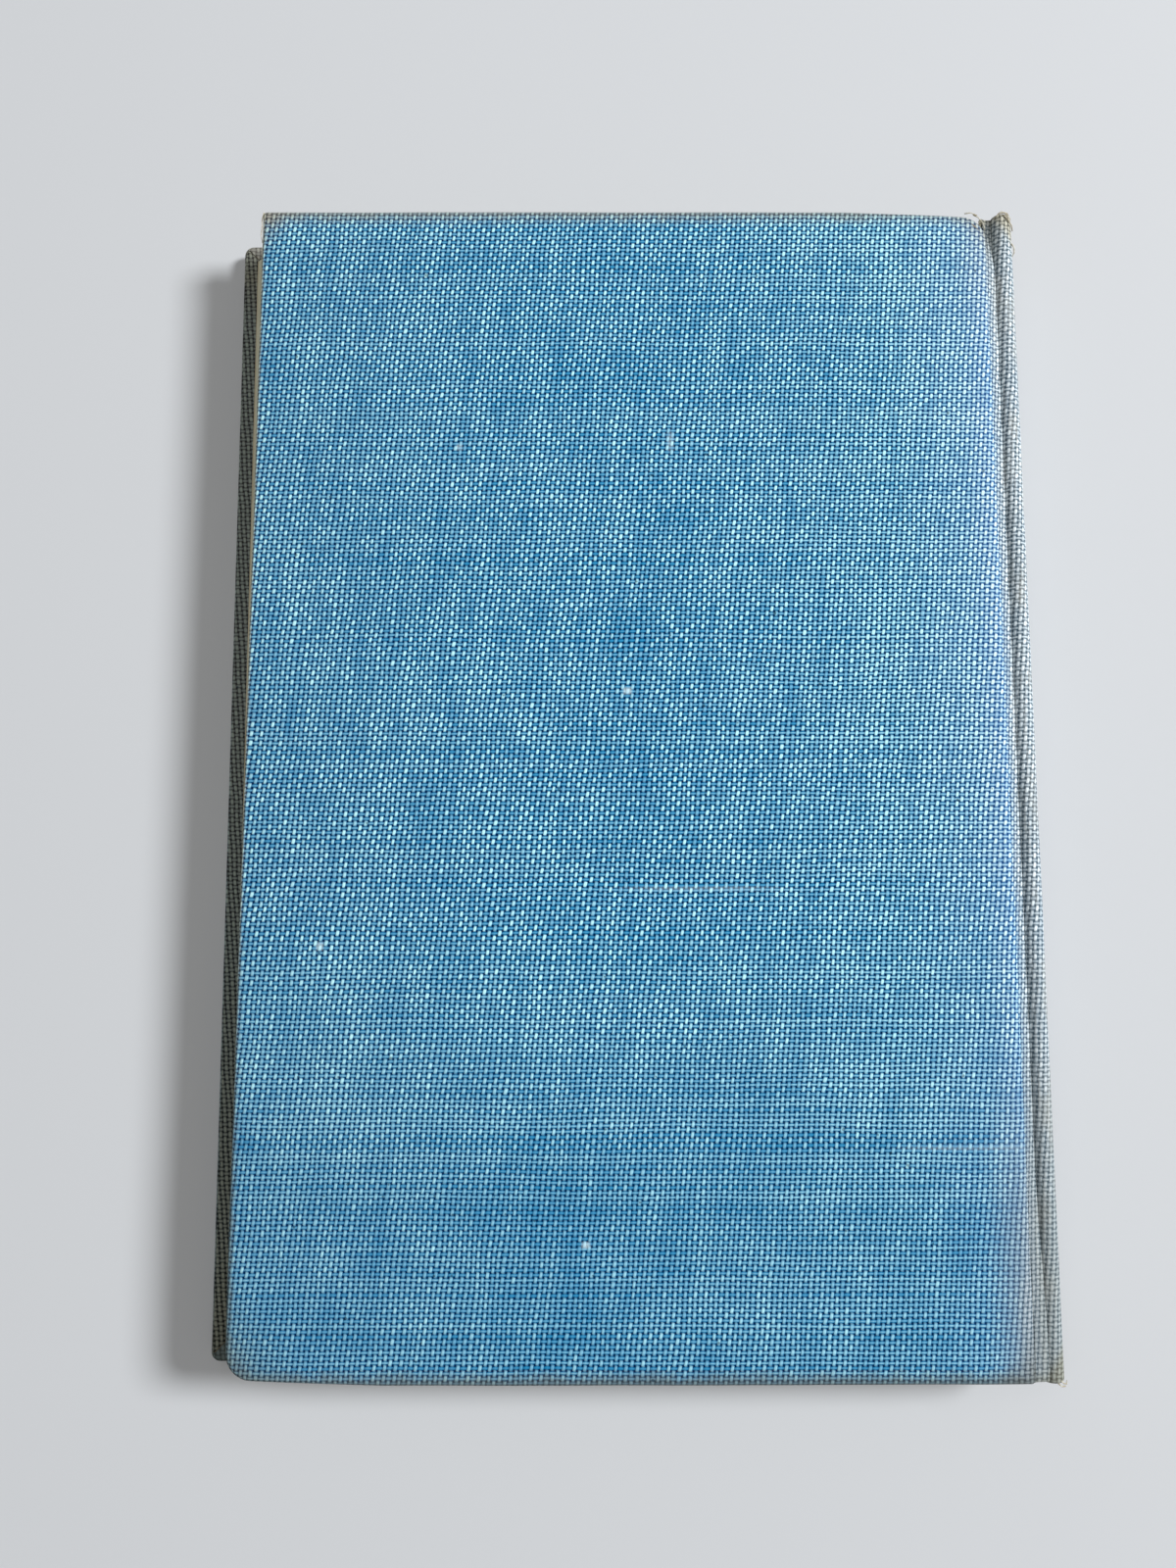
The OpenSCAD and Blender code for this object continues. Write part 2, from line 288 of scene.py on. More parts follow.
def round_joint_side(bm, high):
    """Lets the outer face fall away toward the groove, as the cloth there is pulled down."""
    for v in bm.verts:
        past = (v.co.x - (high.x - JOINT_SLOPE)) / JOINT_SLOPE
        if past > 0 and v.co.z > high.z - 2 * JOINT_DROP:
            v.co.z = min(v.co.z, high.z - JOINT_DROP * past ** 2)


def uneven(v, size_and_depth, level=0.0):
    """Noise of a given size and depth at a point, seen in plan."""
    size, depth = size_and_depth
    return noise.noise(Vector((v.co.x, v.co.y, level)) / size) * depth


def age(bm, low, high, knocks):
    """Slight crown, shallow dents and worn edges; each knock has a place, a reach and a depth."""
    middle = (low + high) / 2
    half = (high - low) / 2
    for v in bm.verts:
        across = (v.co.x - middle.x) / half.x
        along = (v.co.y - middle.y) / half.y
        face = max(0.0, (v.co.z - middle.z) / half.z)
        swell = CROWN * (1 - across ** 2) * (1 - 0.5 * along ** 2)
        dents = uneven(v, DENTS) + uneven(v, FINE_DENTS, 5 * MM)
        inner = 1 - max(abs(across), abs(along)) ** 8
        v.co.z += face * (swell + dents * (0.35 + 0.65 * inner))
        worn = EDGE_WORN + abs(uneven(v, EDGE_WAVES))
        v.co.x -= max(0, abs(across) - 0.97) / 0.03 * math.copysign(1, across) * worn
        v.co.y -= max(0, abs(along) - 0.985) / 0.015 * math.copysign(1, along) * worn
        for (x, y), reach, depth in knocks:
            near = max(0.0, 1 - math.hypot(v.co.x - x, v.co.y - y) / reach)
            v.co.z -= face * depth * near ** 2


for cover in (upper, lower):
    round_joint_side(cover, back_high)
age(upper, back_low, back_high,
    [((back_low.x, back_low.y), 16 * MM, 0.5 * MM), ((back_high.x, back_high.y), 14 * MM, 0.6 * MM)])
print("the upper cover's top is at", round(max(v.co.z for v in upper.verts) / MM, 2), "mm")

# %% Cloth of the two covers
CLOTH_T = 0.35 * MM


def turn_over(bm, low_z, high_z, shift):
    """Face-up cover to face-down cover at its own level."""
    bmesh.ops.scale(bm, vec=(1, 1, -1), verts=bm.verts)
    bmesh.ops.translate(bm, vec=(shift, 0, low_z + high_z), verts=bm.verts)
    bmesh.ops.reverse_faces(bm, faces=bm.faces)


back_cloth = thicken(piece("back_cover_cloth", upper, "back_cover", "blue_cloth", "back_cloth"), CLOTH_T)
turn_over(lower, front_low.z, back_high.z, -lean)
front_cloth = thicken(piece("front_cover_cloth", lower, "front_cover", "blue_cloth", "front_cloth"),
                      CLOTH_T)

# %% [markdown]
# ## Cloth of the spine
# In section the spine is three arcs that touch: a shoulder, the long curve of the back, and the other
# shoulder. The upper cover has moved toward the spine, so the section leans. The shoulders' centres
# come from the frame, and the long curve's centre follows from its radius.

# %% Spine section
SHOULDER_R = 1.7 * MM
SPINE_R = 24 * MM
LOW_SHOULDER_IN = 0.4 * MM
high_shoulder = Vector((spine_high.x - SHOULDER_R, spine_high.z - SHOULDER_R))
low_shoulder = Vector((high_shoulder.x - lean - LOW_SHOULDER_IN, spine_low.z + SHOULDER_R))
between = high_shoulder - low_shoulder
half_turn = math.asin(between.length / 2 / (SPINE_R - SHOULDER_R))
lean_angle = math.atan2(between.x, between.y)
to_centre = Vector((-math.cos(lean_angle), math.sin(lean_angle))) * math.cos(half_turn)
spine_centre = (high_shoulder + low_shoulder) / 2 + to_centre * (SPINE_R - SHOULDER_R)
print("spine leans", round(math.degrees(lean_angle), 1), "degrees")

# %% [markdown]
# A vertex that is spun about each arc's centre draws the section as a line of points, so the points
# needn't be worked out one by one. Each arc starts where the one before it ends.

# %% Line of the section
def start_line(bm, x, z):
    """A line of one point so far."""
    return [bmesh.ops.create_vert(bm, co=(x, 0, z))["vert"][0]]


def go_on(bm, line, steps, **way):
    """Goes on with a line by spinning its last point that many steps."""
    before = len(bm.verts)
    bmesh.ops.spin(bm, geom=[line[-1]], axis=(0, 1, 0), steps=steps, use_duplicate=False, **way)
    bm.verts.ensure_lookup_table()
    line.extend(bm.verts[before:])


def draw_arc(bm, line, centre, turn, steps):
    """Draws an arc of so many radians about a centre; positive is clockwise from +Z."""
    go_on(bm, line, steps, cent=(centre[0], 0, centre[1]), angle=turn)


high_turn = half_turn - lean_angle
low_turn = -half_turn - lean_angle
spine = bmesh.new()
line = start_line(spine, high_shoulder.x - SHOULDER_R, high_shoulder.y)
draw_arc(spine, line, high_shoulder, math.pi - high_turn, 20)
draw_arc(spine, line, spine_centre, high_turn - low_turn, 28)
draw_arc(spine, line, low_shoulder, math.pi + low_turn, 16)
print("the spine's section has", len(line), "points")

# %% [markdown]
# The line is extruded along the book row by row. At head and tail the rows roll over the card inlay
# and run back inside, which is how the spine is turned in. The way along the line and the way along
# the rows are the flat cloth's, so together they are its UV map, which goes on where the groove ends.

# %% Spine, row by row
INLAY_T = 0.5 * MM
ROW = 3 * MM
RIPPLES = (13 * MM, 0.06 * MM)
# On the flat sheet the spine starts this far past the board.
GROOVE_WALK = 1.1 * MM


def inward(line, side):
    """Direction from each point of a line into the binding."""
    points = [v.co.copy() for v in line]
    found = []
    for i in range(len(points)):
        along = points[min(i + 1, len(points) - 1)] - points[max(i - 1, 0)]
        found.append(side * Vector((-along.z, 0, along.x)).normalized())
    return found


def lay_rows(bm, line, rows, side, first_u):
    """Extrudes a line from row to row, each at a distance along the book and a depth into it.

    Gives back the flat width and length of the sheet.
    """
    uv = bm.loops.layers.uv.new("cloth")
    points = [v.co.copy() for v in line]
    ways = inward(line, side)
    across = [first_u]
    for a, b in zip(points, points[1:]):
        across.append(across[-1] + (b - a).length)
    along = [0.0]
    for a, b in zip(rows, rows[1:]):
        along.append(along[-1] + math.hypot(b[0] - a[0], b[1] - a[1]))
    middle = len(rows) // 2
    place = {}
    rim = line
    for number, (y, depth) in enumerate(rows):
        if number:
            edges = [bm.edges.get((a, b)) for a, b in zip(rim, rim[1:])]
            made = set(bmesh.ops.extrude_edge_only(bm, edges=edges)["geom"])
            rim = [next(e.other_vert(v) for e in v.link_edges if e.other_vert(v) in made) for v in rim]
        for i, v in enumerate(rim):
            v.co = points[i] + ways[i] * depth + Vector((0, y, 0))
            place[v] = (across[i], along[number] - along[middle] + rows[middle][0])
            if number == middle and i == 0:
                marker = v
    for face in bm.faces:
        for loop in face.loops:
            loop[uv].uv = place[loop.vert]
    bmesh.ops.recalc_face_normals(bm, faces=bm.faces)
    bm.normal_update()
    if marker.link_faces[0].normal.dot(ways[0]) > 0:
        bmesh.ops.reverse_faces(bm, faces=bm.faces)
    return across[-1] - first_u, along[-1]


def folded_rows(half, fold_r, turned, step):
    """Rows from tail turn-in to head turn-in, over a fold of that radius at each end."""
    inside = [(half - fold_r - turned * (1 - i / 3), 2 * fold_r) for i in range(3)]
    over = [(half - fold_r + fold_r * math.cos(a), fold_r + fold_r * math.sin(a))
            for a in (math.radians(90 - 22.5 * i) for i in range(9))]
    head = inside + over
    count = round(2 * (half - fold_r) / step)
    body = [((half - fold_r) * (2 * i / count - 1), 0.0) for i in range(1, count)]
    return [(-y, d) for y, d in head] + body + [(y, d) for y, d in reversed(head)]


spine_rows = folded_rows(back_high.y, (2 * CLOTH_T + INLAY_T) / 2, TURN_IN, ROW)
spine_flat = lay_rows(spine, line, spine_rows, -1, back_high.x + GROOVE_WALK)
for v in spine.verts:
    v.co.x += noise.noise(Vector((0, v.co.y, v.co.z * 3)) / RIPPLES[0]) * RIPPLES[1]
spine_cloth = thicken(piece("spine_back_cloth", spine, "text_block", "faded_cloth", "spine_cloth"), CLOTH_T)

# %% [markdown]
# ## Cloth in the grooves
# Between board and shoulder the old cloth no longer lies deep in the groove: it slopes from the
# board's edge to the shoulder and makes one sharp line there. The line is lowest at the head and
# almost level with the board at the tail, where the cloth is stuck down. So each row's last point is
# moved along the round of the shoulder, and the last rows at the head sink into a dark gap.

# %% Cloth in the two grooves
GROOVE_TURN_IN = 2.4 * MM
GROOVE_STEPS = 12
GROOVE_FALL = 1.64 * MM
GROOVE_SHORT = 0.2 * MM
HEAD_GAP = 1.3 * MM
INTO_BOARD = 0.03 * MM
# On the flat sheet the groove starts this far past the board.
GROOVE_START = 0.35 * MM


def ease(t):
    """0 up to 1 with level ends."""
    t = max(0.0, min(1.0, t))
    return t * t * (3 - 2 * t)


def on_shoulder(lift):
    """How far past the shoulder's side its round is met, at that height above its centre."""
    return SHOULDER_R - math.sqrt(SHOULDER_R ** 2 - lift ** 2)


def groove_lift(y):
    """Height above the shoulder's centre where the cloth meets it: most at the tail, least at the head."""
    at_tail = 0.54 * MM * ease((-y - 62 * MM) / (28 * MM))
    at_head = 0.72 * MM * ease((y - 84 * MM) / (8 * MM))
    return 0.86 * MM + at_tail - at_head


def groove_cloth(name, wall, shoulder, up):
    """Cloth from the edge of a board to the shoulder of the spine."""
    bm = bmesh.new()
    side = shoulder.x - SHOULDER_R
    line = start_line(bm, wall, shoulder.y + up * GROOVE_FALL)
    step = ((side - wall) / GROOVE_STEPS, 0, -up * GROOVE_FALL / GROOVE_STEPS)
    go_on(bm, line, GROOVE_STEPS, cent=(0, 0, 0), dvec=step, angle=0)
    rows = folded_rows(back_high.y - GROOVE_SHORT, CLOTH_T, GROOVE_TURN_IN, ROW)
    lay_rows(bm, line, rows, -up, back_high.x + GROOVE_START)
    for v in bm.verts:
        along = max(0.0, min(1.0, (v.co.x - wall) / (side - wall)))
        lift = groove_lift(v.co.y)
        sunk = HEAD_GAP * ease((v.co.y - 86 * MM) / (6 * MM)) * (1 - along)
        sag = 0.4 * (lift - GROOVE_FALL) * along * (1 - along)
        v.co.z += up * (lift * along + sag - sunk)
        v.co.x += on_shoulder(lift) * along
    made = piece(name, bm, None, "faded_cloth")
    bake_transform(made)
    return thicken(made, CLOTH_T)


back_groove = groove_cloth("back_groove_cloth", back_high.x - INTO_BOARD, high_shoulder, 1)
front_groove = groove_cloth("front_groove_cloth", front_high.x - INTO_BOARD,
                            low_shoulder, -1)
print("the groove's line lies", round(on_shoulder(groove_lift(0)) / MM, 2), "mm past the shoulder's side")

# %% [markdown]
# ## Loose threads
# Where hands and shelves have worn the cloth through, at the ends of the spine and at two corners of
# the upper cover, single threads have come out. A thread is a fine ring of points that is extruded
# along its path and gets thinner on the way. The paths are given in millimetres.

# %% Loose threads
SPINE_ENDS = (((63.9, 94.2, 12.3), (64.6, 95.0, 12.7), (65.5, 94.9, 13.1), (66.3, 93.9, 13.0)),
              ((64.3, 94.7, 12.4), (65.0, 95.3, 12.8), (66.0, 95.0, 12.8), (66.8, 94.3, 12.1)),
              ((65.2, 94.6, 13.0), (66.0, 93.7, 13.1), (66.7, 92.7, 12.8), (66.9, 91.9, 12.5)),
              ((66.6, 89.6, 12.6), (67.1, 89.0, 12.4), (67.25, 88.3, 12.0), (66.9, 87.6, 11.5)),
              ((66.0, -94.5, 12.7), (66.6, -95.0, 12.5), (67.1, -95.2, 12.1), (67.35, -94.9, 11.6)),
              ((65.6, -94.9, 12.7), (66.2, -95.4, 12.6), (66.9, -95.5, 12.2)))
COVER_CORNERS = (((-60.8, 94.9, 13.1), (-61.15, 93.6, 12.9), (-61.05, 92.2, 13.1), (-61.25, 90.8, 12.9),
                  (-61.0, 89.6, 12.6)),
                 ((60.0, 94.4, 13.3), (60.9, 94.0, 13.2), (61.8, 93.1, 12.9), (62.2, 92.0, 12.6)),
                 ((58.6, 94.6, 13.3), (59.7, 94.9, 13.1), (60.9, 94.6, 12.8)))


def add_thread(bm, path, thickness):
    """One thread along a path in millimetres."""
    points = [Vector(p) * MM for p in path]
    rim = bmesh.ops.create_circle(bm, cap_ends=True, segments=6, radius=1)["verts"]
    turn = {v: math.atan2(v.co.y, v.co.x) for v in rim}
    for number, point in enumerate(points):
        edges = {e for v in rim for e in v.link_edges if e.other_vert(v) in rim}
        if number:
            made = set(bmesh.ops.extrude_edge_only(bm, edges=list(edges))["geom"])
            twins = {v: next(e.other_vert(v) for e in v.link_edges if e.other_vert(v) in made) for v in rim}
            turn = {twins[v]: turn[v] for v in rim}
            rim = [twins[v] for v in rim]
        along = (points[min(number + 1, len(points) - 1)] - points[max(number - 1, 0)]).normalized()
        side = along.cross((0, 0, 1)).normalized()
        width = thickness / 2 * (1 - 0.5 * number / len(points))
        for v in rim:
            v.co = point + (side * math.cos(turn[v]) + along.cross(side) * math.sin(turn[v])) * width
    bmesh.ops.edgeloop_fill(bm, edges=[e for e in bm.edges if e.is_boundary])


def loose_threads(name, paths, thickness, body, slot):
    bm = bmesh.new()
    for path in paths:
        add_thread(bm, path, thickness)
    bmesh.ops.recalc_face_normals(bm, faces=bm.faces)
    return piece(name, bm, body, slot)


spine_threads = loose_threads("spine_loose_threads", SPINE_ENDS, 0.26 * MM, "text_block", "faded_cloth")
corner_threads = loose_threads("corner_loose_threads", COVER_CORNERS, 0.20 * MM, "back_cover", "blue_cloth")

# %% [markdown]
# ## Endpapers
# The paper pasted inside a cover lies over the turn-ins and the gauze and sinks between them, which
# shows as a low frame when the book is opened. A grid gets cut lines on both sides of each step and
# the points between them sink. On the hinge side it runs on across the joint, where it is cut into
# narrow strips.

# %% Pastedowns
PAPER_T = 0.15 * MM
STEP_W = 0.5 * MM
MARGIN = 3 * MM
FLAP_W = 22 * MM
LIE_OFF = 0.01 * MM
PAPER_CELLS = (30, 44)
JOINT_CELLS = 14


def pastedown(name, node, end_x, level, up, start_x, skew):
    """Paper from the fore edge of a board to the pages; the skew narrows it at the tail."""
    low, high = map(Vector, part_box(node))
    bm = bmesh.new()
    bmesh.ops.create_grid(bm, x_segments=1, y_segments=1, size=0.5)
    bmesh.ops.scale(bm, vec=(end_x - low.x, high.y - low.y, 1), verts=bm.verts)
    bmesh.ops.translate(bm, vec=((end_x + low.x) / 2, (high.y + low.y) / 2, 0), verts=bm.verts)
    frame_x = low.x - MARGIN + TURN_IN
    flap_x = high.x - FLAP_W
    frame_y = high.y + MARGIN - TURN_IN
    for i in range(-2, 7):
        for x in (frame_x, flap_x - STEP_W):
            cut(bm, (x + STEP_W * i / 4, 0, 0), (1, 0, 0))
        for y in (-frame_y, frame_y - STEP_W):
            cut(bm, (0, y + STEP_W * i / 4, 0), (0, 1, 0))
    for axis, cells in enumerate(PAPER_CELLS):
        cut_evenly(bm, axis, low[axis], high[axis], cells)
    cut(bm, (start_x, 0, 0), (1, 0, 0))
    cut_evenly(bm, 0, start_x, end_x, JOINT_CELLS)
    for v in bm.verts:
        sunk = (ease((v.co.x - frame_x) / STEP_W) * ease((flap_x - v.co.x) / STEP_W)
                * ease((frame_y - abs(v.co.y)) / STEP_W))
        v.co.z = level + up * sunk * CLOTH_T
        v.co.x += skew * (0.5 - v.co.y / high.y / 2) * ease((start_x - v.co.x) / (start_x - low.x))
    bmesh.ops.recalc_face_normals(bm, faces=bm.faces)
    if (bm.faces[:][0].normal.z > 0) == (up > 0):
        bmesh.ops.reverse_faces(bm, faces=bm.faces)
    made = piece(name, bm, None, "endpaper", node)
    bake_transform(made)
    return thicken(made, PAPER_T)


back_pastedown = pastedown("back_pastedown_paper", "back_pastedown",
                           high_shoulder.x - SHOULDER_R, block_high.z + PAPER_T + LIE_OFF, 1,
                           back_high.x, 0)
front_pastedown = pastedown("front_pastedown_paper", "front_pastedown",
                            low_shoulder.x - SHOULDER_R, block_low.z - PAPER_T - LIE_OFF, -1,
                            front_high.x, page_skew)

# %% [markdown]
# ## Pages
# All pages are as wide as each other, so the leaning spine gives the fore edge its slant. Where it
# stands at each height is read from the outermost points of the frame's own block, and it stands
# further in at the tail, as the book was trimmed.

# %% Fore edge of the pages
PAGE_W = 124.3 * MM


def read_fore_edge():
    """Height and place of the fore edge, from the outermost points of the frame's block."""
    levels = {}
    for v in cad["text_block"].data.vertices:
        if v.co.x < 0:
            key = round(v.co.z, 6)
            levels[key] = min(levels.get(key, v.co.x), v.co.x)
    return sorted(levels.items())


def at_height(levels, z):
    """Place at any height, straight between two measured ones."""
    for (za, xa), (zb, xb) in zip(levels, levels[1:]):
        if za <= z <= zb:
            return xa + (xb - xa) * (z - za) / (zb - za)
    return levels[0 if z < levels[0][0] else -1][1]


def page_x(z, px, py):
    """Place across of a point of a page; the trimmed fore edge stands further in at the tail."""
    skew = page_skew * (0.5 - py) * (0.5 - px)
    return at_height(fore_line, z) + (px + 0.5) * PAGE_W + skew


fore_line = read_fore_edge()
print("the fore edge slants by", round((fore_line[-1][1] - fore_line[0][1]) / MM, 1), "mm")

# %% [markdown]
# Some sixty leaves show as fine lines along the fore edge, the head and the tail. The outline of a
# page is extruded up leaf by leaf, out for each leaf's edge and in between two of them. Noise moves
# each leaf's edge a little, and the eight leaves of a section together. At the back the folds of each
# section are round.

# %% Leaf by leaf
LEAVES = 64
SECTIONS = 8
LEAF_DIP = 0.04 * MM
FOLD_DIP = 0.25 * MM
leaf_t = (block_high.z - block_low.z) / LEAVES
section_t = (block_high.z - block_low.z) / SECTIONS


def page_rows():
    """Height, dip and leaf number of each ring, from the lowest leaf to the highest."""
    found = [(block_low.z, 0.0, 0)]
    for leaf in range(LEAVES):
        z = block_low.z + leaf * leaf_t
        if leaf:
            found.append((z, LEAF_DIP, leaf))
        found.append((z + 0.2 * leaf_t, 0.0, leaf))
        found.append((z + 0.8 * leaf_t, 0.0, leaf))
    return found + [(block_high.z, 0.0, LEAVES - 1)]


def leaf_shift(leaf, edge):
    """How far one leaf's edge stands in; each sewn section steps together."""
    section = noise.noise(Vector((leaf // (LEAVES // SECTIONS) * 3.7, edge * 5.1, 0.5))) * 0.07 * MM
    single = noise.noise(Vector((leaf * 1.9, edge * 7.3, 2.5))) * 0.06 * MM
    return section + single


def place_ring(plan, z, dip, leaf):
    """Moves one ring of points, given in a square from -0.5 to 0.5, out to its leaf's edges."""
    for v, (px, py) in plan:
        fore_in = dip + abs(leaf_shift(leaf, 1)) * (px < -0.499)
        end_in = dip + abs(leaf_shift(leaf, 2 if py > 0 else 3)) * (abs(py) > 0.499)
        wave = noise.noise(Vector((px * 9, py * 13, leaf * 0.35))) * 0.03 * MM
        x = page_x(z, px, py)
        x += fore_in + wave if px < -0.499 else 0
        fold = FOLD_DIP * (1 - abs(math.sin(math.pi * (z - block_low.z) / section_t)))
        x -= dip * 2 + fold if px > 0.499 else 0
        y = py * 2 * block_high.y
        y -= math.copysign(end_in + abs(wave), py) if abs(py) > 0.499 else 0
        v.co = Vector((x, y, z))


rings = page_rows()
print(LEAVES, "leaves make", len(rings), "rings of points")

# %% Page block
pages = bmesh.new()
bmesh.ops.create_grid(pages, x_segments=31, y_segments=46, size=0.5)
bmesh.ops.reverse_faces(pages, faces=pages.faces)
ring_edges = [e for e in pages.edges if e.is_boundary]
ring = [v for v in pages.verts if v.is_boundary]
square = {v: (v.co.x, v.co.y) for v in pages.verts}
for v in pages.verts:
    v.co = Vector((page_x(block_low.z, v.co.x, v.co.y), v.co.y * 2 * block_high.y, block_low.z))
place_ring([(v, square[v]) for v in ring], *rings[0])
for z, dip, leaf in rings[1:]:
    made = bmesh.ops.extrude_edge_only(pages, edges=ring_edges)["geom"]
    fresh = {g for g in made if isinstance(g, bmesh.types.BMVert)}
    plan = []
    for v in ring:
        twin = next(e.other_vert(v) for e in v.link_edges if e.other_vert(v) in fresh)
        square[twin] = square[v]
        plan.append((twin, square[v]))
    place_ring(plan, z, dip, leaf)
    ring = [v for v, _ in plan]
    ring_edges = [g for g in made if isinstance(g, bmesh.types.BMEdge)
                  and g.verts[0] in fresh and g.verts[1] in fresh]
bmesh.ops.edgeloop_fill(pages, edges=ring_edges)
bmesh.ops.recalc_face_normals(pages, faces=pages.faces)
text_block = piece("page_block", pages, "text_block", "pages", "text_block")
for polygon in text_block.data.polygons:
    polygon.use_smooth = False

# %% [markdown]
# ## Writing shader maths as sums
# A material is a net of nodes, and a sum in it takes a node for every sign. The small class below
# wraps a socket so that the sum can be written as Python writes it, with numbers on either side.

# %% Wire
class Wire:
    """A number that runs through a material."""

    def __init__(self, finish, socket):
        self.finish, self.socket = finish, socket

    def _sum(self, operation, *values):
        return self.finish.node("ShaderNodeMath", {"operation": operation}, values, 0)

    def __add__(self, other):
        return self._sum("ADD", self, other)

    def __radd__(self, other):
        return self._sum("ADD", other, self)

    def __sub__(self, other):
        return self._sum("SUBTRACT", self, other)

    def __rsub__(self, other):
        return self._sum("SUBTRACT", other, self)

    def __mul__(self, other):
        return self._sum("MULTIPLY", self, other)

    def __rmul__(self, other):
        return self._sum("MULTIPLY", other, self)

    def __truediv__(self, other):
        return self._sum("DIVIDE", self, other)

    def __pow__(self, other):
        return self._sum("POWER", self, other)

    def __abs__(self):
        return self._sum("ABSOLUTE", self)

    def floor(self):
        return self._sum("FLOOR", self)

    def cos(self):
        return self._sum("COSINE", self)

    def root(self):
        return self._sum("SQRT", self.at_least(0))

    def at_least(self, other):
        return self._sum("MAXIMUM", self, other)

    def at_most(self, other):
        return self._sum("MINIMUM", self, other)

    def ramp(self, start, end):
        """0 before start, 1 past end, and smooth between; start may be above end."""
        low, high, first, last = (start, end, 0, 1) if start < end else (end, start, 1, 0)
        return self.finish.node("ShaderNodeMapRange", {"interpolation_type": "SMOOTHSTEP"},
                                {"Value": self, "From Min": low, "From Max": high,
                                 "To Min": first, "To Max": last}, 0)


# %% [markdown]
# The second class holds one material. It makes any other node from its kind, its settings and its
# inputs, and gives short names to those that come back: blends of two colours, noise, specks, the maps
# and the bump.

# %% Finish
def shade(red, green, blue):
    """Colour given as it looks on a screen, 0 to 255."""
    return tuple(((c / 255 + 0.055) / 1.055) ** 2.4 if c > 10 else c / 255 / 12.92
                 for c in (red, green, blue)) + (1,)


class Finish:
    """One material, built from nodes."""

    def __init__(self, name, roughness, shine=0.2):
        self.material = bpy.data.materials.new(name)
        self.material.use_nodes = True
        self.tree = self.material.node_tree
        self.shader = self.tree.nodes["Principled BSDF"]
        self.shader.inputs["Roughness"].default_value = roughness
        self.shader.inputs["Specular IOR Level"].default_value = shine

    def node(self, kind, settings, inputs, output):
        """Adds a node. Inputs are values or wires, by place or by name."""
        made = self.tree.nodes.new(kind)
        for name, value in settings.items():
            setattr(made, name, value)
        named = inputs.items() if isinstance(inputs, dict) else enumerate(inputs)
        for key, value in named:
            self.feed(made.inputs[key], value)
        return Wire(self, made.outputs[output])

    def feed(self, socket, value):
        if isinstance(value, Wire):
            self.tree.links.new(value.socket, socket)
        else:
            socket.default_value = value

    def blend(self, amount, first, second):
        """Colour between two colours."""
        made = self.tree.nodes.new("ShaderNodeMix")
        made.data_type, made.clamp_factor = "RGBA", True
        self.feed(made.inputs[0], amount)
        self.feed(made.inputs[6], first)
        self.feed(made.inputs[7], second)
        return Wire(self, made.outputs[2])

    def stain(self, amount, colour, relief, dips, tops):
        """Colour with a stain on it, of one shade in the dips of the weave and another on its tops."""
        return self.blend(amount, colour, self.blend(relief, dips, tops))

    def point(self, x, y, z):
        return self.node("ShaderNodeCombineXYZ", {}, (x, y, z), 0)

    def noise(self, x, y, z, detail, roughness=0.5):
        """Cloudy noise round 0.5, its clouds about one unit wide."""
        return self.node("ShaderNodeTexNoise", {}, {"Vector": self.point(x, y, z), "Scale": 1.0,
                                                    "Detail": detail, "Roughness": roughness}, 0)

    def speck(self, x, y, z):
        """A different number from 0 to 1 for each whole-number place."""
        return self.node("ShaderNodeTexWhiteNoise", {}, {"Vector": self.point(x, y, z)}, 0)

    def split(self, place, count):
        """The first so many numbers of a place, in millimetres."""
        made = self.tree.nodes.new("ShaderNodeSeparateXYZ")
        self.feed(made.inputs[0], place)
        return [Wire(self, made.outputs[i]) * (1 / MM) for i in range(count)]

    def cloth_map(self):
        """Millimetres across and along the unrolled cloth."""
        return self.split(self.node("ShaderNodeUVMap", {"uv_map": "cloth"}, {}, 0), 2)

    def object_map(self):
        """Millimetres across, along and up."""
        return self.split(self.node("ShaderNodeTexCoord", {}, {}, 3), 3)

    def colour(self, value):
        self.feed(self.shader.inputs["Base Color"], value)

    def bump(self, height, depth):
        """Height from 0 to 1 over a depth in metres."""
        self.feed(self.shader.inputs["Normal"], self.node(
            "ShaderNodeBump", {}, {"Strength": 1.0, "Distance": depth, "Height": height}, 0))

    def put_on(self, *made):
        for obj in made:
            obj.data.materials.clear()
            obj.data.materials.append(self.material)
        print(self.material.name, "has", len(self.tree.nodes), "nodes and is on",
              ", ".join(obj.name for obj in made))


# %% [markdown]
# ## Book cloth
# The cloth is a plain weave: each warp thread runs from tail to head and goes over and under the weft
# in turn, so neighbouring crossings swap like a chessboard. A cosine of one thread's place times the
# other thread's number gives that swap. The threads are dyed blue and the tops of the warp are rubbed
# pale, so the cloth reads as pale ovals on a deep blue ground, with thin pale lines where the weft
# catches the light. The low places and the gaps between threads are darkened to the deepest blue:
# partly the unworn dye, partly painted shade in the hollows of the weave. A weave drawn as one
# formula keeps its size on every side of the board, which a picture of cloth wouldn't. Places are in
# millimetres on the flat sheet.

# %% The weave
WARP_PITCH = 0.80
WEFT_PITCH = 0.76
WARP_LEAN = 0.09


